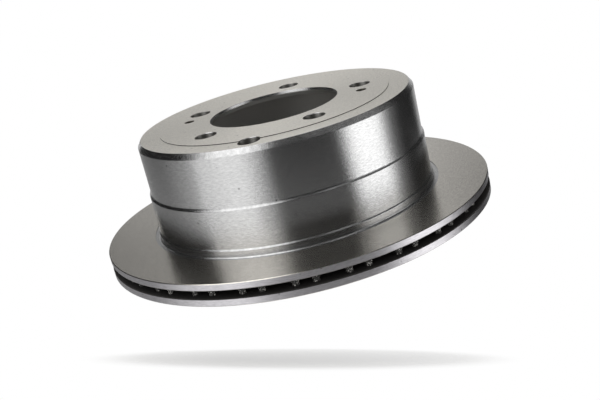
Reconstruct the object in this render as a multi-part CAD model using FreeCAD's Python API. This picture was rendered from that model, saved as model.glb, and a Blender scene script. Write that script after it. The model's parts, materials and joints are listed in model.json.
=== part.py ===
import FreeCAD, Part
import math
import os

# Rear brake disc with a ventilated ring and a parking brake drum inside its hat.
# One grey iron casting, machined on its faces and left as cast inside the vents.
# Z is the wheel axis and points to the wheel. Z = 0 is the inboard friction face.
# All sizes are millimetres and degrees.

# The friction ring
ring_diameter = 329.0
ring_thickness = 18.0
outboard_plate = 5.6
inboard_plate = 6.0
inboard_plate_bore = 240.0
rim_chamfer = 0.5
cast_edge = 0.6

# The vanes between the plates, cast in pairs
vane_pairs = 25
vane_pair_angle = 5.45
first_pair_angle = 267.9
vane_width = 4.6
vane_flare = 0.5
vane_tip_width = 2.2
vane_tip_length = 3.0
vane_rim_setback = 5.8
vane_bore_setback = 2.0
vane_root = 0.6

# The outside of the hat
face_height = 83.3
face_diameter = 228.0
bevel_width = 3.0
bevel_height = 4.3
barrel_step_height = 37.4
barrel_step = 1.2
neck_height = 5.6
neck_step = 1.3
relief_width = 4.2
relief_depth = 0.5
relief_corner = 0.8

# The mounting face of the hat
face_thickness = 6.0
pad_diameter = 195.0
pad_step = 0.5
hub_bore = 108.0
hub_bore_chamfer = 0.5
hub_bore_relief = 3.4

# The wheel stud holes and the two tapped holes that push the disc off its hub
stud_circle = 150.0
stud_count = 5
stud_hole = 17.3
stud_hole_chamfer = 0.4
first_stud_angle = 4.6
jack_hole = 8.0
jack_hole_chamfer = 0.4

# The hole in the face that reaches the parking brake adjuster
access_hole = 17.5
access_hole_chamfer = 0.4
access_hole_clearance = 0.5

# The inside of the hat
cavity_diameter = 219.0
cavity_corner = 5.0
drum_diameter = 210.0
drum_length = 46.0
drum_ramp = 3.0
mouth_chamfer = 1.5
mouth_lip = 1.7

ring_radius = ring_diameter / 2
vent_floor = inboard_plate
vent_roof = ring_thickness - outboard_plate
face_level = ring_thickness + face_height
face_underside = face_level - face_thickness
barrel_radius = face_diameter / 2 + bevel_width
neck_radius = barrel_radius + barrel_step + neck_step
stud_pitch = 360.0 / stud_count
Z_AXIS = FreeCAD.Vector(0, 0, 1)
ORIGIN = FreeCAD.Vector(0, 0, 0)


def turned(corners):
    """Turn a closed section, given as (radius, height) corners, about the wheel axis."""
    points = [FreeCAD.Vector(radius, 0, height) for radius, height in corners]
    section = Part.Face(Part.makePolygon(points + points[:1]))
    return section.revolve(ORIGIN, Z_AXIS, 360)


def hat_outside():
    """The section from the rim of the outboard plate up to the mounting pad."""
    relief_radius = neck_radius + relief_width
    relief_floor = ring_thickness - relief_depth
    neck_top = ring_thickness + neck_height
    step_top = ring_thickness + barrel_step_height
    rim_level = face_level - pad_step
    return [
        (ring_radius - cast_edge, vent_roof),
        (ring_radius, vent_roof + cast_edge),
        (ring_radius, ring_thickness - rim_chamfer),
        (ring_radius - rim_chamfer, ring_thickness),
        (relief_radius, ring_thickness),
        (relief_radius, relief_floor),
        (neck_radius + relief_corner, relief_floor),
        (neck_radius, relief_floor + relief_corner),
        (neck_radius, neck_top),
        (neck_radius - neck_step, neck_top + neck_step),
        (barrel_radius + barrel_step, step_top - barrel_step),
        (barrel_radius, step_top),
        (barrel_radius, rim_level - bevel_height),
        (barrel_radius - bevel_width, rim_level),
        (pad_diameter / 2, rim_level),
        (pad_diameter / 2, face_level),
    ]


def hat_inside():
    """The section from the hub bore down the drum and back under the outboard plate."""
    bore_radius = hub_bore / 2
    drum_radius = drum_diameter / 2
    cavity_radius = cavity_diameter / 2
    mouth_level = vent_roof - mouth_lip
    drum_top = mouth_level + mouth_chamfer + drum_length
    return [
        (bore_radius + hub_bore_chamfer, face_level),
        (bore_radius, face_level - hub_bore_chamfer),
        (bore_radius, face_underside + hub_bore_relief),
        (bore_radius + hub_bore_relief, face_underside),
        (cavity_radius - cavity_corner, face_underside),
        (cavity_radius, face_underside - cavity_corner),
        (cavity_radius, drum_top + drum_ramp),
        (drum_radius, drum_top),
        (drum_radius, mouth_level + mouth_chamfer),
        (drum_radius + mouth_chamfer, mouth_level),
        (barrel_radius, mouth_level),
        (barrel_radius + mouth_lip, vent_roof),
    ]


def inboard_ring():
    """The inboard plate, which hangs from the vanes alone."""
    bore_radius = inboard_plate_bore / 2
    return turned([
        (bore_radius, rim_chamfer),
        (bore_radius + rim_chamfer, 0),
        (ring_radius - rim_chamfer, 0),
        (ring_radius, rim_chamfer),
        (ring_radius, vent_floor - cast_edge),
        (ring_radius - cast_edge, vent_floor),
        (bore_radius + cast_edge, vent_floor),
        (bore_radius, vent_floor - cast_edge),
    ])


def vane_outline(growth, height):
    """The outline of a vane along X at one height, with blunt tips, offset outwards by growth."""
    inner = inboard_plate_bore / 2 + vane_bore_setback
    outer = ring_radius - vane_rim_setback
    half = vane_width / 2
    half_tip = vane_tip_width / 2
    side = [
        (inner, half_tip),
        (inner + vane_tip_length, half),
        (outer - vane_tip_length, half),
        (outer, half_tip),
    ]
    points = side + [(x, -y) for x, y in reversed(side)]
    outline = Part.makePolygon([FreeCAD.Vector(x, y, 0) for x, y in points + points[:1]])
    if growth > 0:
        outline = outline.makeOffset2D(growth, 2)
    outline.translate(FreeCAD.Vector(0, 0, height))
    return outline


def vane():
    """One vane, with a waist at the core's parting line and its widest places at the plates."""
    parting = (vent_floor + vent_roof) / 2
    waist = vane_outline(0, parting)
    foot = vane_outline(vane_flare, vent_floor - vane_root)
    head = vane_outline(vane_flare, vent_roof + vane_root)
    lower = Part.makeLoft([foot, waist], True, True)
    upper = Part.makeLoft([waist, head], True, True)
    return lower.fuse(upper)


def vanes():
    """All the vanes, two and two, with wider gaps between the pairs."""
    single = vane()
    pair_pitch = 360.0 / vane_pairs
    placed = []
    for pair in range(vane_pairs):
        for side in (-0.5, 0.5):
            angle = first_pair_angle + pair * pair_pitch + side * vane_pair_angle
            copy = single.copy()
            copy.rotate(ORIGIN, Z_AXIS, angle)
            placed.append(copy)
    return placed


def chamfered_drill(diameter, chamfer, radius, angle):
    """A cutter through the mounting face, with a chamfer at its two mouths."""
    hole_radius = diameter / 2
    top = face_level
    bottom = face_underside
    reach = chamfer * 2
    section = [
        (0, bottom - reach),
        (hole_radius + chamfer + reach, bottom - reach),
        (hole_radius, bottom + chamfer),
        (hole_radius, top - chamfer),
        (hole_radius + chamfer + reach, top + reach),
        (0, top + reach),
    ]
    cutter = turned(section)
    cutter.translate(FreeCAD.Vector(radius, 0, 0))
    cutter.rotate(ORIGIN, Z_AXIS, angle)
    return cutter


def stud_holes():
    """The wheel stud holes, evenly spaced on their circle."""
    holes = []
    for stud in range(stud_count):
        angle = first_stud_angle + stud * stud_pitch
        holes.append(chamfered_drill(stud_hole, stud_hole_chamfer, stud_circle / 2, angle))
    return holes


def jack_holes():
    """Two tapped holes on the stud circle, opposite each other, a quarter pitch off a stud."""
    angle = first_stud_angle - stud_pitch / 4
    return [
        chamfered_drill(jack_hole, jack_hole_chamfer, stud_circle / 2, angle),
        chamfered_drill(jack_hole, jack_hole_chamfer, stud_circle / 2, angle + 180),
    ]


def adjuster_hole():
    """The access hole, half way between two studs and close to the cavity's wall."""
    radius = cavity_diameter / 2 - access_hole_clearance - access_hole / 2
    angle = first_stud_angle + 3.5 * stud_pitch
    return chamfered_drill(access_hole, access_hole_chamfer, radius, angle)


def brake_disc():
    """The whole casting with its machined holes."""
    casting = turned(hat_outside() + hat_inside())
    casting = casting.fuse([inboard_ring()] + vanes())
    casting = casting.cut(stud_holes() + jack_holes() + [adjuster_hole()])
    return casting.removeSplitter()


os.makedirs("parts", exist_ok=True)
disc = brake_disc()
print("solids", len(disc.Solids), "volume cm3", round(disc.Volume / 1000, 1), "valid", disc.isValid())
disc.exportStep("parts/brake_disc.step")
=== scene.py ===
# %% [markdown]
# # A ventilated rear brake disc with a drum inside its hat
#
# The real object is one casting of grey iron. A lathe cuts every face that the eye meets first: the
# mounting face, the tall hat and the two friction faces. The passages between the two plates stay as the
# sand core left them, dark and rough. The lesson is therefore about two things: turning an exact section
# into a smooth mesh, and giving machined iron the reflections that make it look machined.

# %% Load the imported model
import json
import math

import bmesh
import bpy
from mathutils import Matrix, Vector


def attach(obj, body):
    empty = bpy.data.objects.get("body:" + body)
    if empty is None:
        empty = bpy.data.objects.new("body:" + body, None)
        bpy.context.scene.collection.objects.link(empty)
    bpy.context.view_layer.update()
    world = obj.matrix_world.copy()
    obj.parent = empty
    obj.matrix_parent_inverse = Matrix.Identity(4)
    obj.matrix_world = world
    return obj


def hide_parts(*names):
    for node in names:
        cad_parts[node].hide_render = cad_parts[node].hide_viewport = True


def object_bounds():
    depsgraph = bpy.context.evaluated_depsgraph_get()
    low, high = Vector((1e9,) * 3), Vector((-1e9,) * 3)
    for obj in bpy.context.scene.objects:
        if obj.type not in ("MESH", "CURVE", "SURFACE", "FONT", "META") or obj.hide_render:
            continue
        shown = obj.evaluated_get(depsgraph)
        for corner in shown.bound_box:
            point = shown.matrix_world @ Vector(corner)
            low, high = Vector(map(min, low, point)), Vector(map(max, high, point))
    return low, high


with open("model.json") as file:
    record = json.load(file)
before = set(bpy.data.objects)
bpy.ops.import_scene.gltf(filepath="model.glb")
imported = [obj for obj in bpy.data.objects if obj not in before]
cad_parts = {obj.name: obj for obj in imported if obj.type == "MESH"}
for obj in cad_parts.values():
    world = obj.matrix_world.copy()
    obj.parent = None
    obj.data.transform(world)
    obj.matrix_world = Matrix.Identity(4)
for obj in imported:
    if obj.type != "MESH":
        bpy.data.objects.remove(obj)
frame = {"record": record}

cad_low, cad_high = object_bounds()
print("CAD box in mm", [round(1000 * v, 2) for v in (*cad_low, *cad_high)])

# %% [markdown]
# ## Sizes
#
# The frame gives the sizes that other parts depend on: the outside of the disc, its height, and the holes
# that the record lists as mounts. The small steps, bevels and reliefs of the section aren't in the record,
# so they are named here in millimetres, as a drawing would name them.

# %% Sizes from the frame
MM = 0.001
mounts = {mount["name"]: mount for mount in frame["record"]["mounts"]}
ring_radius = cad_high.x
face_level = cad_high.z
ring_thickness = mounts["outboard_friction_face"]["pos_m"][2]
bore_radius = mounts["hub_bore"]["dims"]["r_mm"] * MM
stud_circle_radius = mounts["stud_holes"]["dims"]["pcd_mm"] / 2 * MM
stud_count = mounts["stud_holes"]["dims"]["count"]
stud_hole_radius = mounts["stud_holes"]["dims"]["hole_r_mm"] * MM
jack_hole_radius = mounts["jacking_holes"]["dims"]["hole_r_mm"] * MM
access_centre = Vector(mounts["adjuster_access"]["pos_m"])
access_hole_radius = mounts["adjuster_access"]["dims"]["r_mm"] * MM
drum_radius = mounts["parking_brake_drum"]["dims"]["r_mm"] * MM
face_underside = mounts["hub_face"]["pos_m"][2]
print("ring", round(ring_radius / MM, 2), "face level", round(face_level / MM, 2))

# %% Sizes of the section, in metres
vent_floor = 6.0 * MM
vent_roof = ring_thickness - 5.6 * MM
inboard_bore_radius = 120.0 * MM
rim_chamfer = 0.5 * MM
cast_edge = 0.6 * MM
barrel_radius = 117.2 * MM
barrel_step = 1.5 * MM
barrel_step_level = ring_thickness + 38.8 * MM
bevel_width = 3.0 * MM
bevel_height = 4.3 * MM
neck_radius = 119.8 * MM
neck_step = 1.1 * MM
neck_level = ring_thickness + 5.2 * MM
relief_width = 4.2 * MM
relief_depth = 0.5 * MM
relief_corner = 0.8 * MM
pad_radius = 97.5 * MM
pad_step = 0.5 * MM
bore_lead = 0.55 * MM
bore_lead_height = 2.0 * MM
bore_round = 0.15 * MM
bore_relief = 3.4 * MM
cavity_radius = 109.5 * MM
cavity_corner = 5.0 * MM
cavity_round = 2.0 * MM
drum_length = 46.0 * MM
drum_ramp = 3.0 * MM
mouth_chamfer = 1.5 * MM
mouth_lip = 1.7 * MM
machined_round = 0.25 * MM
step_fillet = 0.8 * MM
spin_steps = 360
print("wall beside the drum in mm", round((barrel_radius - drum_radius) / MM, 2))

# %% [markdown]
# ## The section and its spin
#
# A lathe makes a solid of revolution, so the mesh is made the same way: draw half of the section once and
# turn it about the wheel axis. A box or a cylinder with steps cut in it would give the same outline with
# many more edits. The corners of the section are rounded before the spin, while each corner is still one
# vertex: a real tool leaves a small radius everywhere, and that radius is what catches the light.

# %% A section turned about the wheel axis
corner_segments = 3
same_place = 1e-7


def turned(corners, steps=spin_steps):
    """A closed mesh from (radius, height, rounding) corners, as a bmesh."""
    bm = bmesh.new()
    points = [bm.verts.new((radius, 0, height)) for radius, height, rounding in corners]
    bm.faces.new(points)
    for size in sorted({rounding for radius, height, rounding in corners if rounding > 0}):
        chosen = [v for v, corner in zip(points, corners) if corner[2] == size]
        bmesh.ops.bevel(
            bm, geom=chosen, offset=size, segments=corner_segments, profile=0.5,
            affect="VERTICES", material=-1,
        )
    bmesh.ops.delete(bm, geom=bm.faces[:], context="FACES_ONLY")
    bmesh.ops.spin(
        bm, geom=bm.verts[:] + bm.edges[:], cent=(0, 0, 0), axis=(0, 0, 1), dvec=(0, 0, 0),
        angle=2 * math.pi, steps=steps, use_merge=True, use_duplicate=False,
    )
    bmesh.ops.remove_doubles(bm, verts=bm.verts[:], dist=same_place)
    bmesh.ops.recalc_face_normals(bm, faces=bm.faces[:])
    return bm


def finished_object(bm, name):
    """Puts a bmesh into a new object at the origin."""
    mesh = bpy.data.meshes.new(name)
    bm.to_mesh(mesh)
    bm.free()
    piece = bpy.data.objects.new(name, mesh)
    bpy.context.scene.collection.objects.link(piece)
    return piece


print("one step of the spin in degrees", 360 / spin_steps)

# %% The outboard plate and the hat, in one section
rim_level = face_level - pad_step
relief_radius = neck_radius + relief_width
relief_floor = ring_thickness - relief_depth
mouth_level = vent_roof - mouth_lip
drum_top = mouth_level + mouth_chamfer + drum_length
soft = machined_round
hat_section = [
    (ring_radius - cast_edge, vent_roof, 0),
    (ring_radius, vent_roof + cast_edge, 0),
    (ring_radius, ring_thickness - rim_chamfer, 0),
    (ring_radius - rim_chamfer, ring_thickness, 0),
    (relief_radius, ring_thickness, 0),
    (relief_radius, relief_floor, 0),
    (neck_radius + relief_corner, relief_floor, soft),
    (neck_radius, relief_floor + relief_corner, soft),
    (neck_radius, neck_level, soft),
    (neck_radius - neck_step, neck_level + neck_step, 0),
    (barrel_radius + barrel_step, barrel_step_level - barrel_step, soft),
    (barrel_radius, barrel_step_level, step_fillet),
    (barrel_radius, rim_level - bevel_height, soft),
    (barrel_radius - bevel_width, rim_level, soft),
    (pad_radius, rim_level, 0),
    (pad_radius, face_level, 0),
    (bore_radius + bore_lead, face_level, bore_round),
    (bore_radius, face_level - bore_lead_height, 0),
    (bore_radius, face_underside + bore_relief, 0),
    (bore_radius + bore_relief, face_underside, 0),
    (cavity_radius - cavity_corner, face_underside, cavity_round),
    (cavity_radius, face_underside - cavity_corner, cavity_round),
    (cavity_radius, drum_top + drum_ramp, 0),
    (drum_radius, drum_top, 0),
    (drum_radius, mouth_level + mouth_chamfer, 0),
    (drum_radius + mouth_chamfer, mouth_level, 0),
    (barrel_radius, mouth_level, 0),
    (barrel_radius + mouth_lip, vent_roof, 0),
]
hat = finished_object(turned(hat_section), "hat_and_outboard_plate")
print("hat", len(hat.data.polygons), "faces")

# %% [markdown]
# ## The inboard plate
#
# The second friction plate has no hat. It is a flat ring that only the vanes carry, so it is its own
# short section and its own spin. Joining it to the first section by a bridge of faces would put a wall in
# the vents.

# %% The inboard plate
inboard_section = [
    (inboard_bore_radius, rim_chamfer, 0),
    (inboard_bore_radius + rim_chamfer, 0, 0),
    (ring_radius - rim_chamfer, 0, 0),
    (ring_radius, rim_chamfer, 0),
    (ring_radius, vent_floor - cast_edge, 0),
    (ring_radius - cast_edge, vent_floor, 0),
    (inboard_bore_radius + cast_edge, vent_floor, 0),
    (inboard_bore_radius, vent_floor - cast_edge, 0),
]
inboard = finished_object(turned(inboard_section), "inboard_plate")
print("inboard plate", len(inboard.data.polygons), "faces")

# %% [markdown]
# ## The vanes
#
# The vanes hold the two plates apart and pump air through the disc. They are the metal that filled slots in
# a sand core, so each one is narrow at the core's middle, wider at both plates, and carries a thin fin
# where the two halves of the core met. Drawn outlines could be bridged, level by level, but a cube needs
# fewer points: its upright edges are rounded, its top and bottom are widened, and the band between two cuts
# is pushed out as the fin.

# %% Sizes of the vanes
vane_pairs = 25
vane_pair_angle = math.radians(5.45)
first_pair_angle = math.radians(267.9)
vane_width = 4.6 * MM
vane_flare = 0.5 * MM
vane_rim_setback = 5.8 * MM
vane_bore_setback = 2.0 * MM
vane_root = 0.6 * MM
fin_height = 0.6 * MM
fin_thickness = 1.1 * MM
tip_round = 0.45 * vane_width
tip_segments = 4
tip_length = 1.6 * MM
vane_inner = inboard_bore_radius + vane_bore_setback
vane_outer = ring_radius - vane_rim_setback
print("vanes", 2 * vane_pairs, "of", round((vane_outer - vane_inner) / MM, 1), "mm")

# %% One vane
def grow(verts, amount):
    """Moves verts of the vane away from its middle line."""
    for v in verts:
        along = min(max(v.co.x, vane_inner + vane_width / 2), vane_outer - vane_width / 2)
        v.co += (v.co - Vector((along, 0, v.co.z))).normalized() * amount


def one_vane():
    """A round-ended bar along X with a waist and a fin, as a bmesh."""
    low = vent_floor - vane_root
    high = vent_roof + vane_root
    parting = (low + high) / 2
    bm = bmesh.new()
    bmesh.ops.create_cube(bm, size=1)
    bmesh.ops.scale(bm, verts=bm.verts[:], vec=(vane_outer - vane_inner, vane_width, high - low))
    bmesh.ops.translate(bm, verts=bm.verts[:], vec=((vane_outer + vane_inner) / 2, 0, parting))
    upright = [edge for edge in bm.edges if abs(edge.verts[0].co.z - edge.verts[1].co.z) > MM]
    bmesh.ops.bevel(
        bm, geom=upright, offset=tip_round, segments=tip_segments, profile=0.5,
        affect="EDGES", material=-1,
    )
    for level in (parting - fin_thickness / 2, parting + fin_thickness / 2):
        everything = bm.verts[:] + bm.edges[:] + bm.faces[:]
        bmesh.ops.bisect_plane(bm, geom=everything, plane_co=(0, 0, level), plane_no=(0, 0, 1))
    grow([v for v in bm.verts if abs(v.co.z - parting) > fin_thickness], vane_flare)
    middle = fin_thickness / 4
    band = [face for face in bm.faces if abs(face.calc_center_median().z - parting) < middle]
    raised = bmesh.ops.extrude_face_region(bm, geom=band)["geom"]
    grow([g for g in raised if isinstance(g, bmesh.types.BMVert)], fin_height)
    bmesh.ops.delete(bm, geom=band, context="FACES_ONLY")
    bmesh.ops.recalc_face_normals(bm, faces=bm.faces[:])
    return bm


print("height of a vane in mm", round((vent_roof - vent_floor + 2 * vane_root) / MM, 1))

# %% [markdown]
# ## The pairs
#
# The vanes stand two and two, with a wider gap between the pairs. An Array modifier could repeat one vane,
# but it knows a single step, and here two steps alternate. So the copies are turned in a double loop.

# %% All the vanes
def all_vanes():
    """Every vane of the ring, two and two."""
    bm = one_vane()
    single = bm.verts[:] + bm.edges[:] + bm.faces[:]
    for pair in range(vane_pairs):
        for side in (-0.5, 0.5):
            angle = first_pair_angle + pair * 2 * math.pi / vane_pairs + side * vane_pair_angle
            copy = bmesh.ops.duplicate(bm, geom=single)["geom"]
            verts = [g for g in copy if isinstance(g, bmesh.types.BMVert)]
            bmesh.ops.rotate(bm, verts=verts, cent=(0, 0, 0), matrix=Matrix.Rotation(angle, 3, "Z"))
    pattern = [g for g in single if isinstance(g, bmesh.types.BMVert)]
    bmesh.ops.delete(bm, geom=pattern, context="VERTS")
    return bm


vanes = finished_object(all_vanes(), "vanes")
print("vanes", len(vanes.data.polygons), "faces")

# %% [markdown]
# ## The holes
#
# The holes are drilled, so a Boolean with a turned cutter is the honest way to make them: the cutter has
# the drill's radius and the two chamfers that the countersink leaves. Holes drawn into the faces would
# need a new ring of points for each of them.

# %% Cutters for the drilled holes
hole_chamfer = 0.4 * MM
hole_steps = 64


def drill(radius, chamfer, centre):
    """A cutter through the mounting face."""
    reach = 2 * chamfer
    section = [
        (0, face_underside - reach, 0),
        (radius + chamfer + reach, face_underside - reach, 0),
        (radius, face_underside + chamfer, 0),
        (radius, face_level - chamfer, 0),
        (radius + chamfer + reach, face_level + reach, 0),
        (0, face_level + reach, 0),
    ]
    bm = turned(section, hole_steps)
    bmesh.ops.translate(bm, verts=bm.verts[:], vec=(centre.x, centre.y, 0))
    return finished_object(bm, "cutter")


def on_circle(radius, degrees):
    """A point of a circle about the wheel axis."""
    angle = math.radians(degrees)
    return Vector((radius * math.cos(angle), radius * math.sin(angle), 0))


first_stud_angle = 4.6
stud_pitch = 360 / stud_count
first_jack_angle = first_stud_angle - stud_pitch / 4
cutters = []
for stud in range(stud_count):
    place = on_circle(stud_circle_radius, first_stud_angle + stud * stud_pitch)
    cutters.append(drill(stud_hole_radius, hole_chamfer, place))
for turn in (0, 180):
    place = on_circle(stud_circle_radius, first_jack_angle + turn)
    cutters.append(drill(jack_hole_radius, hole_chamfer, place))
cutters.append(drill(access_hole_radius, hole_chamfer, access_centre))
print("cutters", len(cutters))

# %% [markdown]
# ## Drilling
#
# Each cutter becomes a Boolean modifier, and the result is then taken as the new mesh. The exact solver is
# slower than the fast one, but it copes with the chamfers that touch the step of the pad.

# %% Drill the mounting face
def applied(piece):
    """Replaces a piece's mesh by its modified one."""
    graph = bpy.context.evaluated_depsgraph_get()
    mesh = bpy.data.meshes.new_from_object(piece.evaluated_get(graph))
    piece.modifiers.clear()
    piece.data = mesh


for cutter in cutters:
    cut = hat.modifiers.new("drill", "BOOLEAN")
    cut.operation = "DIFFERENCE"
    cut.solver = "EXACT"
    cut.object = cutter
applied(hat)
for cutter in cutters:
    bpy.data.objects.remove(cutter)
print("drilled", len(hat.data.polygons), "faces")

# %% [markdown]
# ## Shading
#
# A lathe leaves true round walls between flat faces. Every face is shaded smooth, and an edge is marked
# sharp where its two faces meet at a real corner. Weighted normals then keep the large faces flat up to
# their small rounds. Without them the light would bend over the flat faces as it does on a pebble.

# %% Smooth walls and sharp corners
pieces = (hat, inboard, vanes)
corner_angle = math.radians(32)
for piece in pieces:
    bm = bmesh.new()
    bm.from_mesh(piece.data)
    for face in bm.faces:
        face.smooth = True
    for edge in bm.edges:
        edge.smooth = edge.calc_face_angle(0) < corner_angle
    bm.to_mesh(piece.data)
    bm.free()
    weigh = piece.modifiers.new("even normals", "WEIGHTED_NORMAL")
    weigh.keep_sharp = True
print("shaded", [piece.name for piece in pieces])

# %% [markdown]
# ## Finishes
#
# The disc is grey iron. A cut face of it is a metal with a colour of its own, a light and slightly warm
# grey. What makes it look turned is the direction of its grooves. They run round the wheel axis, so a
# highlight stays narrow along them and is drawn out across them. A picture of streaks would stay where it
# is painted. The shader's own anisotropy moves with the light, so it is used instead.

# %% A colour and a node
def linear(hex_colour):
    """An sRGB hex colour as linear RGBA."""
    channels = [int(hex_colour[i:i + 2], 16) / 255 for i in (1, 3, 5)]
    return [c / 12.92 if c <= 0.04045 else ((c + 0.055) / 1.055) ** 2.4 for c in channels] + [1]


def add(tree, kind, inputs=None, **settings):
    """Adds one node. Each input gets a value, or a link when it is given another node's output."""
    node = tree.nodes.new(kind)
    for name, value in settings.items():
        setattr(node, name, value)
    for name, value in (inputs or {}).items():
        if isinstance(value, bpy.types.NodeSocket):
            tree.links.new(value, node.inputs[name])
        else:
            node.inputs[name].default_value = value
    return node


print("mid grey in linear light", round(linear("#808080")[0], 3))

# %% [markdown]
# ## Tool marks
#
# The tool leaves a fine spiral that can't be told from rings, and the graphite in the iron breaks it into
# short dashes. Both come from one noise whose coordinates follow the tool: the sum of radius and height
# steps from groove to groove, on the faces as well as on the walls, and the direction from the axis runs
# A second noise gives the grain of the iron, and a Voronoi texture gives a few small pits in painted shade.
# A Wave texture would give clean rings too, but it can't break them into dashes.

# %% Sizes of the marks
# A real groove is about 0.2 mm wide, and a flake of graphite is smaller. At the size of the photograph
# neither would show, so both are drawn coarser than they are.
groove_spacing = 0.7 * MM
groove_length = 3.0 * MM
groove_contrast = 0.12
noise_low = 0.3
noise_high = 0.7
grain_size = 1.0 * MM
grain_relief = 1.5
pit_spacing = 11.0 * MM
pit_floor_radius = 0.33 * MM
pit_mouth_radius = 0.99 * MM
pit_depth = 0.1 * MM
pit_strength = 0.6
# Share of the colour left in the pits, as painted shade.
pit_shade = 0.45
print("grooves up the barrel", round((face_level - ring_thickness) / groove_spacing))

# %% Marks as a normal and a shade
def lathe_marks(tree, depth):
    """Grooves, grain and pits as a normal, and a colour factor: tone in dashes, painted shade in pits."""
    place = add(tree, "ShaderNodeTexCoord").outputs["Object"]
    level_part = {0: place, 1: (1, 1, 0)}
    flat = add(tree, "ShaderNodeVectorMath", level_part, operation="MULTIPLY").outputs[0]
    radius = add(tree, "ShaderNodeVectorMath", {0: flat}, operation="LENGTH").outputs["Value"]
    height = add(tree, "ShaderNodeSeparateXYZ", {0: place}).outputs["Z"]
    reach = add(tree, "ShaderNodeMath", {0: radius, 1: height}, operation="ADD").outputs[0]
    count = {0: reach, 1: 1 / groove_spacing}
    across = add(tree, "ShaderNodeMath", count, operation="MULTIPLY").outputs[0]
    spoke = add(tree, "ShaderNodeVectorMath", {0: flat}, operation="NORMALIZE").outputs[0]
    turns = barrel_radius / groove_length
    along = add(tree, "ShaderNodeVectorMath", {0: spoke, "Scale": turns}, operation="SCALE").outputs[0]
    level = add(tree, "ShaderNodeCombineXYZ", {"Z": across}).outputs[0]
    groove_place = add(tree, "ShaderNodeVectorMath", {0: along, 1: level}, operation="ADD").outputs[0]
    rings = {"Vector": groove_place, "Scale": 1.0, "Detail": 2.0}
    grooves = add(tree, "ShaderNodeTexNoise", rings).outputs[0]
    specks = {"Vector": place, "Scale": 1 / grain_size, "Detail": 2.0}
    grain = add(tree, "ShaderNodeTexNoise", specks).outputs[0]
    cells = {"Vector": place, "Scale": 1 / pit_spacing}
    to_pit = add(tree, "ShaderNodeTexVoronoi", cells).outputs["Distance"]
    floor_share = pit_floor_radius / pit_spacing
    mouth_share = pit_mouth_radius / pit_spacing
    rise = {0: to_pit, 1: floor_share, 2: mouth_share, 3: 0.0, 4: 1.0}
    pits = add(tree, "ShaderNodeMapRange", rise).outputs[0]
    first_bump = {"Strength": 1.0, "Distance": depth, "Height": grooves}
    normal = add(tree, "ShaderNodeBump", first_bump).outputs[0]
    for strength, distance, relief in ((1.0, grain_relief * depth, grain), (pit_strength, pit_depth, pits)):
        bump = {"Strength": strength, "Distance": distance, "Height": relief, "Normal": normal}
        normal = add(tree, "ShaderNodeBump", bump).outputs[0]
    contrast = {0: grooves, 1: noise_low, 2: noise_high, 3: 1 - groove_contrast, 4: 1 + groove_contrast}
    dashes = add(tree, "ShaderNodeMapRange", contrast).outputs[0]
    # Painted shade: the colour is darkened inside the pits.
    sunk = add(tree, "ShaderNodeMapRange", {0: pits, 1: 0.0, 2: 1.0, 3: pit_shade, 4: 1.0}).outputs[0]
    shade = add(tree, "ShaderNodeMath", {0: dashes, 1: sunk}, operation="MULTIPLY").outputs[0]
    return normal, shade


print("dashes round the barrel", round(2 * math.pi * barrel_radius / groove_length))

# %% [markdown]
# ## Machined grey iron
#
# All cut faces share one function, because they are one metal under different tools. Its tangent is the
# cross product of the wheel axis and the place on the part, which points along the grooves everywhere. In
# a drilled hole the grooves run round the hole's own axis, so there the normal stands in for the place. A
# Tangent node would give the first of these, but not the second.

# %% A finish for any cut face
across_grooves = 0.25


def machined_iron(name, colour, roughness, stretch, depth, wheel_axis=True):
    """Cut grey iron, with its highlights drawn out across the grooves."""
    material = bpy.data.materials.new(name)
    material.use_nodes = True
    tree = material.node_tree
    shader = tree.nodes["Principled BSDF"]
    shader.inputs["Metallic"].default_value = 1.0
    shader.inputs["Base Color"].default_value = linear(colour)
    shader.inputs["Roughness"].default_value = roughness
    shader.inputs["Anisotropic"].default_value = stretch
    shader.inputs["Anisotropic Rotation"].default_value = across_grooves
    place = add(tree, "ShaderNodeTexCoord").outputs["Object" if wheel_axis else "Normal"]
    axis_and_place = {0: (0, 0, 1), 1: place}
    around = add(tree, "ShaderNodeVectorMath", axis_and_place, operation="CROSS_PRODUCT").outputs[0]
    tree.links.new(around, shader.inputs["Tangent"])
    if depth > 0:
        normal, shade = lathe_marks(tree, depth)
        paint = {0: linear(colour)[:3], "Scale": shade}
        tint = add(tree, "ShaderNodeVectorMath", paint, operation="SCALE").outputs[0]
        tree.links.new(tint, shader.inputs["Base Color"])
        tree.links.new(normal, shader.inputs["Normal"])
    return material


print("highlights are turned by", 360 * across_grooves, "degrees")

# %% [markdown]
# ### The barrel
#
# The outside of the hat is turned in one pass with a sharp tool. It stays rough enough to spread the light
# up and down the wall, and smooth enough round the axis to keep the edges of the softboxes.

# %% Turned grey iron
# Gives the eye tall soft bars of light that follow the curve, with a fine horizontal grain in them.
turned_barrel = machined_iron(
    "turned_grey_iron", "#C4C4C4", roughness=0.27, stretch=0.9, depth=0.03 * MM,
)
print(turned_barrel.name)

# %% [markdown]
# ### The mounting face
#
# The wheel bolts against this face. It is faced with a wide tool, which leaves it matt. It could share the
# barrel's finish, but then it would mirror the studio, and on the real disc it is an even warm grey.

# %% Faced grey iron
# Gives the eye a calm matt plane that sets off the dark holes.
turned_face = machined_iron(
    "faced_grey_iron", "#DEDBD4", roughness=0.55, stretch=0.3, depth=0.01 * MM,
)
print(turned_face.name)

# %% [markdown]
# ### The friction faces
#
# The brake pads run on these two faces, so they are ground flat and are the smoothest of the part. They
# show a soft mirror image of the hat.

# %% Ground friction face
# Gives the eye the hat's dark and bright bars once more, upside down and a little blurred.
ground_face = machined_iron(
    "ground_friction_face", "#D2CEC6", roughness=0.21, stretch=0.7, depth=0.007 * MM,
)
print(ground_face.name)

# %% [markdown]
# ### The rims
#
# The two rims of the ring are turned last and left coarse, since nothing touches them.

# %% Turned rim
# Gives the eye two even light bands that frame the dark vents.
turned_rim = machined_iron(
    "turned_rim", "#C8C6C9", roughness=0.42, stretch=0.7, depth=0.03 * MM,
)
print(turned_rim.name)
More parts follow.
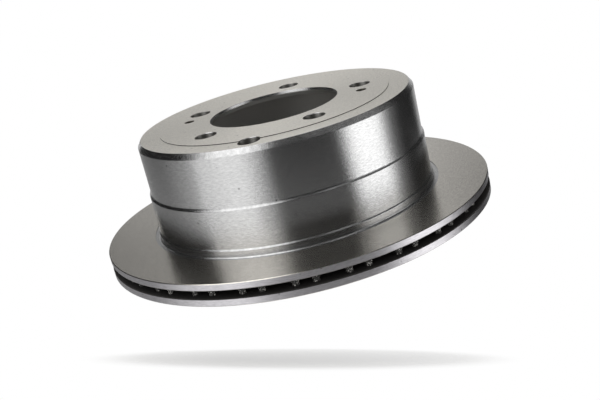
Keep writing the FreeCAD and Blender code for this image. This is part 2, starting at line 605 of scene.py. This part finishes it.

# %% [markdown]
# ### The holes and the drum
#
# A drill and a boring tool leave the same iron a little darker and rougher. The walls are too short or too
# shaded for marks to show, so these three finishes have none. The thread of the tapped holes is painted
# darker, as painted shade for the turns of a thread, which would be smaller than a pixel of the photograph.

# %% Drilled, tapped and bored iron
# Give the eye a bright stripe in each dark hole, and an even grey inside the drum.
drilled = machined_iron(
    "drilled_grey_iron", "#A8A6A2", roughness=0.45, stretch=0.8, depth=0, wheel_axis=False,
)
# Painted shade: the thread is given a darker colour for the shade in its small turns.
tapped = machined_iron(
    "tapped_thread_painted_shade", "#6B665E", roughness=0.5, stretch=0.8, depth=0, wheel_axis=False,
)
drum_iron = machined_iron("bored_grey_iron", "#A8A6A2", roughness=0.45, stretch=0.6, depth=0)
print(drilled.name, tapped.name, drum_iron.name)

# %% [markdown]
# ### The cast skin
#
# Inside the vents the iron keeps the skin that the sand gave it: dark, matt and not metallic to the eye.
# The wall of the small step on the mounting face is painted dark too, as painted shade in its corner.

# %% Cast skin and a step in painted shade
# Give the eye the black band of the vents and the thin dark line of painted shade on the mounting face.
def plain_finish(name, colour, roughness, metallic):
    """A finish without grooves."""
    material = bpy.data.materials.new(name)
    material.use_nodes = True
    shader = material.node_tree.nodes["Principled BSDF"]
    shader.inputs["Metallic"].default_value = metallic
    shader.inputs["Base Color"].default_value = linear(colour)
    shader.inputs["Roughness"].default_value = roughness
    return material


cast_skin = plain_finish("cast_skin", "#24211F", roughness=0.8, metallic=0)
# Painted shade: the wall of the small step is given a near-black colour.
painted_step_shade = plain_finish("step_in_painted_shade", "#2A2826", roughness=0.6, metallic=1)
print(cast_skin.name, painted_step_shade.name)

# %% [markdown]
# ### The tips of the vanes
#
# The tips are cast as well. Light specks are painted into their dark skin as glints of small facets: a
# noise mixes the two colours. Modelled facets would be lost at this size.

# %% Vane tips with painted glints
# Give the eye the small painted glints that count the vanes from a step away.
# Size of the painted glints on the tips, spaced like coarse grains of sand.
painted_glint_size = 0.9 * MM  # real moulding sand is nearer 0.3 mm, which wouldn't show
painted_glint_starts = 0.57
painted_glint_full = 0.68


def painted_glint_finish(name, colour, glint_colour, roughness):
    """A dark skin with painted glints mixed into its colour."""
    material = plain_finish(name, colour, roughness, metallic=0)
    tree = material.node_tree
    place = add(tree, "ShaderNodeTexCoord").outputs["Object"]
    sand = {"Vector": place, "Scale": 1 / painted_glint_size, "Detail": 1.0}
    glint_noise = add(tree, "ShaderNodeTexNoise", sand).outputs[0]
    rise = {0: glint_noise, 1: painted_glint_starts, 2: painted_glint_full, 3: 0.0, 4: 1.0}
    # Painted highlight: where the noise is high, the dark colour turns light.
    bright = add(tree, "ShaderNodeMapRange", rise).outputs[0]
    colours = {"Factor": bright, 6: linear(colour), 7: linear(glint_colour)}
    mixed = add(tree, "ShaderNodeMix", colours, data_type="RGBA").outputs[2]
    tree.links.new(mixed, tree.nodes["Principled BSDF"].inputs["Base Color"])
    return material


cast_tip = painted_glint_finish("cast_vane_tip", "#2C2B29", glint_colour="#D6D4CE", roughness=0.4)
print(cast_tip.name)

# %% [markdown]
# ## Which tool cut which face
#
# The hat is one mesh with nine finishes. Picking its faces by hand would fail as soon as a size changes, so
# a function looks at where a face lies and which way it points, and names the tool that cut it.

# %% The finishes and the zones of the hat
# A face points up by 1 when it lies level, and by 0 when it stands upright. The zones are widths round the
# edges of the section, within which a face still belongs to its neighbour.
finishes = [
    turned_barrel, turned_face, ground_face, turned_rim,
    drilled, drum_iron, cast_skin, painted_step_shade, tapped,
]
slot_of = {finish.name: number for number, finish in enumerate(finishes)}
nearly_level = 0.9
slanted = 0.5
facing_out = 0.3
hair = 0.01 * MM
touch = 0.1 * MM
step_zone = 0.05 * MM
rim_zone = 0.3 * MM
edge_zone = 2 * MM
jack_zone = 1.3 * jack_hole_radius
print("finishes to choose from", len(slot_of))


# %% The finish of a face
def finish_of(centre, normal):
    """The finish of a face of the hat or the outboard plate, from its place and direction."""
    radius = math.hypot(centre.x, centre.y)
    outward = (centre.x * normal.x + centre.y * normal.y) / radius
    upward = normal.z
    upright = abs(upward) < nearly_level
    jack_angle = math.radians(first_jack_angle)
    off_jacks = abs(centre.x * math.sin(jack_angle) - centre.y * math.cos(jack_angle))
    if upright and off_jacks < jack_zone and abs(radius - stud_circle_radius) < jack_zone:
        return tapped
    if abs(radius - pad_radius) < step_zone and abs(upward) < slanted:
        return painted_step_shade
    if radius < bore_radius + bore_lead and centre.z > face_level - bore_lead_height:
        return turned_barrel if upward < nearly_level else turned_face
    in_face = face_underside - MM < centre.z < rim_level - hair
    between_walls = bore_radius + edge_zone < radius < cavity_radius
    if upright and in_face and between_walls and abs(radius - pad_radius) > touch:
        return drilled
    if centre.z <= mouth_level + touch and upward < -slanted and radius > barrel_radius - edge_zone:
        return cast_skin
    if centre.z <= vent_roof + hair and radius > barrel_radius - touch:
        return cast_skin
    if radius > ring_radius - rim_zone and upward < slanted:
        return turned_rim
    if radius > relief_radius - touch and upward > slanted and centre.z < neck_level:
        return ground_face
    if upward > nearly_level and centre.z > rim_level - touch:
        return turned_face
    if upward < -slanted or (upright and outward < facing_out):
        return drum_iron
    return turned_barrel


top_finish = finish_of(Vector((pad_radius - MM, 0, face_level)), Vector((0, 0, 1)))
print("finish of the mounting face", top_finish.name)

# %% Give every face its finish
for finish in finishes:
    hat.data.materials.append(finish)
for face in hat.data.polygons:
    face.material_index = slot_of[finish_of(face.center, face.normal).name]
for finish in (ground_face, turned_rim, cast_skin):
    inboard.data.materials.append(finish)
for face in inboard.data.polygons:
    radius = math.hypot(face.center.x, face.center.y)
    if face.normal.z < -slanted:
        face.material_index = 0
    elif radius > ring_radius - rim_zone and face.normal.z < slanted:
        face.material_index = 1
    else:
        face.material_index = 2
vanes.data.materials.append(cast_skin)
vanes.data.materials.append(cast_tip)
for face in vanes.data.polygons:
    radius = math.hypot(face.center.x, face.center.y)
    face.material_index = 1 if radius > vane_outer - tip_length else 0
print("finishes on the hat", len(hat.data.materials))

# %% [markdown]
# ## One casting
#
# The two plates and the vanes are separate meshes because they were made in separate ways. On the real disc
# they are one casting, so all three ride on the same body and replace the same solid. A Boolean could unite
# them, but its cuts across the vanes' feet would spoil the clean rings of both plates.

# %% Ride and replace
for piece in pieces:
    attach(piece, "root")
    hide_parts("brake_disc")
print(len(pieces), "pieces on body root")

# %% [markdown]
# ## Camera
#
# The camera looks down on the disc at 18 degrees and is rolled, so the disc seems to tip to the left. It
# was found by matching the ellipses of the rim, the bore and the mounting face. The disc itself could be
# tipped instead, but it stays flat on its axis, where the other tools have it.

# %% Directions of the camera
camera_elevation = math.radians(18.0)
camera_roll = math.radians(-13.49)
back = Vector((0, -math.cos(camera_elevation), math.sin(camera_elevation)))
level_up = Vector((0, math.sin(camera_elevation), math.cos(camera_elevation)))
level_right = Vector((1, 0, 0))
right = math.cos(camera_roll) * level_right + math.sin(camera_roll) * level_up
up = -math.sin(camera_roll) * level_right + math.cos(camera_roll) * level_up
print("back from the disc", [round(v, 3) for v in back])

# %% Camera
camera_distance = 784.9 * MM
camera_right = 3.77 * MM
camera_up = -1.32 * MM
camera_lens_mm = 54.48
camera_sensor_mm = 36
aim = Vector((0, 0, ring_thickness))
camera_data = bpy.data.cameras.new("camera")
camera_data.sensor_width = camera_sensor_mm
camera_data.lens = camera_lens_mm
camera = bpy.data.objects.new("camera", camera_data)
bpy.context.scene.collection.objects.link(camera)
eye = aim + back * camera_distance + right * camera_right + up * camera_up
camera.matrix_world = Matrix.Translation(eye) @ Matrix((right, up, back)).transposed().to_4x4()
bpy.context.scene.camera = camera
print("camera at", [round(v, 3) for v in eye])

# %% [markdown]
# ## Floor
#
# The disc floats above a soft shadow on white. The shadow needs something to fall on, so a round white
# table lies below, and it leans and rolls with the camera. Part of it glows as bright as the background,
# and the rest is a matt white that darkens where the disc keeps the light away. Towards its edge the matt
# share fades out, so the table has no visible border. A shadow catcher would need a second layer to be laid
# over the background.

# %% Place of the table
table_drop = 137.0 * MM
table_shift = 5.5 * MM
table_radius = 190.0 * MM
table_steps = 96
table_tilt = math.radians(-6.9)
shade_share = 0.62
shade_radius = 0.7 * table_radius
table_normal = math.cos(table_tilt) * up + math.sin(table_tilt) * back
table_front = math.cos(table_tilt) * back - math.sin(table_tilt) * up
table_centre = aim - up * table_drop + right * table_shift
print("table below the ring in mm", round(table_drop / MM, 1))

# %% A round table
bm = bmesh.new()
bmesh.ops.create_circle(bm, cap_ends=True, cap_tris=False, segments=table_steps, radius=table_radius)
table_axes = Matrix((right, -table_front, table_normal)).transposed().to_4x4()
bmesh.ops.transform(bm, matrix=Matrix.Translation(table_centre) @ table_axes, verts=bm.verts[:])
floor = finished_object(bm, "floor")
floor.visible_glossy = False
floor.visible_diffuse = False
print("floor", len(floor.data.vertices), "corners")

# %% White table
# Gives the eye a soft grey shadow that fades into the white.
material = bpy.data.materials.new("white_table")
material.use_nodes = True
tree = material.node_tree
tree.nodes.clear()
place = add(tree, "ShaderNodeTexCoord").outputs["Object"]
ends = {0: place, 1: table_centre}
away = add(tree, "ShaderNodeVectorMath", ends, operation="DISTANCE").outputs["Value"]
fade = {0: away, 1: shade_radius, 2: table_radius, 3: shade_share, 4: 0.0}
share = add(tree, "ShaderNodeMapRange", fade, interpolation_type="SMOOTHSTEP").outputs[0]
glow = add(tree, "ShaderNodeEmission", {"Color": (1, 1, 1, 1), "Strength": 1.0}).outputs[0]
matt = add(tree, "ShaderNodeBsdfDiffuse", {"Color": (1, 1, 1, 1)}).outputs[0]
both = add(tree, "ShaderNodeMixShader", {0: share, 1: glow, 2: matt}).outputs[0]
add(tree, "ShaderNodeOutputMaterial", {"Surface": both})
floor.data.materials.append(material)
print(material.name)

# %% [markdown]
# ## Cards
#
# Metal looks like what it reflects. A photographer puts softboxes and black flags round a disc like this
# one, and the bars on the barrel are their pictures. Lamps would light the disc as well, and its matt faces
# would become too bright, so each softbox is a glowing card that only a reflection sees. Its light is an
# attribute of its mesh, which fades along the azimuth as the edge of a softbox does. Azimuths are in
# degrees from the X axis, and the camera stands at 270. A light is 1 where it is as bright as white paper.

# %% The light along a card
def light_at(lights, azimuth):
    """The brightness at an azimuth, between the two (azimuth, brightness) pairs next to it."""
    for (start, first), (stop, second) in zip(lights, lights[1:]):
        if azimuth <= stop:
            return first + (second - first) * max(azimuth - start, 0) / (stop - start)
    return lights[-1][1]


print("half way from 0 to 1 the light is", light_at([(0, 0.0), (90, 1.0)], 45))


# %% A card's glow
def paper_light():
    """A finish that glows as its mesh's own light attribute says: 0 is black and 1 is white paper."""
    material = bpy.data.materials.new("paper_light")
    material.use_nodes = True
    tree = material.node_tree
    tree.nodes.clear()
    level = add(tree, "ShaderNodeAttribute", attribute_name="light").outputs["Fac"]
    glow = add(tree, "ShaderNodeEmission", {"Color": (1, 1, 1, 1), "Strength": level}).outputs[0]
    add(tree, "ShaderNodeOutputMaterial", {"Surface": glow})
    return material


card_finish = paper_light()
print(card_finish.name)

# %% Seen in metal only
before_start = 1


def seen_in_metal_only(piece, lights):
    """Lights a card and hides it from the camera and from all light but reflections."""
    # A corner may lie a hair before the start of the card, and it must not be sent a whole turn round.
    start = lights[0][0]
    level = piece.data.attributes.new("light", "FLOAT", "POINT")
    for vertex, value in zip(piece.data.vertices, level.data):
        turn = math.degrees(math.atan2(vertex.co.y, vertex.co.x)) - start
        value.value = light_at(lights, start + (turn + before_start) % 360 - before_start)
    piece.data.materials.append(card_finish)
    piece.visible_camera = False
    piece.visible_diffuse = False
    piece.visible_shadow = False
    piece.visible_transmission = False
    piece.visible_volume_scatter = False


print("a corner may lie", before_start, "degree before the start of its card")

# %% A card between two elevations
card_distance = 1500.0 * MM
band_distance = 300.0 * MM
card_step = 2


def card(name, low, high, lights, distance=card_distance):
    """A curved card round the part, between two elevations, with its light given along the azimuth."""
    start, stop = lights[0][0], lights[-1][0]
    bm = bmesh.new()
    ends = [
        bm.verts.new((distance, 0, distance * math.tan(math.radians(elevation))))
        for elevation in (low, high)
    ]
    bm.edges.new(ends)
    to_start = Matrix.Rotation(math.radians(start), 3, "Z")
    bmesh.ops.rotate(bm, verts=bm.verts[:], cent=(0, 0, 0), matrix=to_start)
    bmesh.ops.spin(
        bm, geom=bm.verts[:] + bm.edges[:], cent=(0, 0, 0), axis=(0, 0, 1), dvec=(0, 0, 0),
        angle=math.radians(stop - start), steps=max(2, round((stop - start) / card_step)),
        use_merge=False, use_duplicate=False,
    )
    seen_in_metal_only(finished_object(bm, name), lights)


print("cards stand at", round(card_distance / ring_radius, 1), "times the radius of the ring")

# %% [markdown]
# ## The studio round the disc
#
# From the front and round by the right stand a black flag, the strong right softbox, a second flag, white
# paper behind the disc, a flag at the back left and the wide left softbox. Most have a second card above or
# below, with a light of its own, for the bevels and the steps. The three low bands stand close to the
# ring, and its rims mirror them. One picture of a studio round the whole world would do the same, but cards
# can be moved and dimmed one at a time.

# %% Place the cards
card("front_flag", -60, 32, [(259, 0.03), (313, 0.02)])
card("front_high_flag", 33, 82, [(252, 0.3), (262, 0.03), (318, 0.03)])
card("right_softbox", -60, 20, [
    (313, 0.03), (323, 1.7), (330, 1.95), (349, 1.95), (356, 0.85), (363, 0.2), (376, 0.04)])
card("over_right_softbox", 21, 66, [(318, 0.11), (376, 0.08)])
card("right_flag", -60, 60, [(376, 0.03), (402, 0.02), (411, 0.05)])
card("back_low_card", -60, 2, [
    (411, 0.1), (418, 0.42), (426, 0.6), (436, 0.66), (462, 0.64), (474, 0.45), (480, 0.3)])
card("back_card", 3, 17, [
    (411, 0.1), (418, 0.3), (426, 0.36), (434, 0.42), (440, 0.68), (450, 0.6), (456, 0.47), (466, 0.42),
    (475, 0.12)])
card("back_high_card", 17, 36, [
    (411, 0.08), (426, 0.2), (434, 0.4), (440, 0.6), (450, 0.48), (456, 0.36), (466, 0.3), (475, 0.1)])
card("left_back_flag", -6, 60, [(120, 0.02), (158, 0.02)])
card("left_low_card", -60, -6, [(120, 0.3), (150, 0.27), (162, 0.32), (174, 0.5), (186, 0.75), (198, 1.0)])
card("left_flag", -6, 44, [(158, 0.02), (192, 0.02), (198, 0.3)])
card("left_softbox", -60, 30, [
    (198, 1.0), (210, 1.1), (222, 1.27), (236, 1.27), (246, 0.9), (251, 0.6), (259, 0.06)])
card("left_softbox_top", 30, 44, [(198, 0.3), (208, 1.4), (236, 1.7), (250, 0.8), (259, 0.2)])
card("left_high_softbox", 44, 82, [(158, 1.6), (166, 1.9), (230, 1.8), (244, 1.3), (252, 0.8)])
card("low_front_band", -50, -5.2, [(246, 0.42), (304, 0.42)], band_distance)
card("low_left_band", -50, -5.2, [(110, 0.2), (150, 0.22), (158, 0.4), (200, 0.4)], band_distance)
card("low_right_band", -50, -5.2, [(8, 0.05), (14, 0.08), (24, 0.3), (34, 0.4), (50, 0.5)], band_distance)
print("cards", card_finish.users)

# %% [markdown]
# ## A cloth under the drum
#
# In the photograph the holes of the mounting face look into a dark drum. White light from below would make
# its iron bright. So a dark cloth closes the mouth, and only reflections see it, like the cards. A darker
# iron would also make the drum dark, but under other light it would look wrong.

# %% A dark cloth
cloth_gap = MM
cloth_steps = 64
cloth_light = 0.16
bm = bmesh.new()
bmesh.ops.create_circle(
    bm, cap_ends=True, cap_tris=False, segments=cloth_steps, radius=inboard_bore_radius,
)
bmesh.ops.translate(bm, verts=bm.verts[:], vec=(0, 0, -cloth_gap))
seen_in_metal_only(finished_object(bm, "cloth_in_drum"), [(0, cloth_light), (360, cloth_light)])
print("cloth below the inboard plate in mm", cloth_gap / MM)

# %% [markdown]
# ## White surroundings
#
# The background is plain white at strength 1, and the same white lights the matt faces evenly from all
# sides. White walls round the disc would do that too, but they would need lamps of their own.

# %% White surroundings
world = bpy.data.worlds.new("studio")
bpy.context.scene.world = world
world.use_nodes = True
tree = world.node_tree
tree.nodes.clear()
white = add(tree, "ShaderNodeBackground", {"Color": (1, 1, 1, 1), "Strength": 1.0}).outputs[0]
add(tree, "ShaderNodeOutputWorld", {"Surface": white})
bpy.context.scene.view_settings.view_transform = "Standard"
print("view transform", bpy.context.scene.view_settings.view_transform)
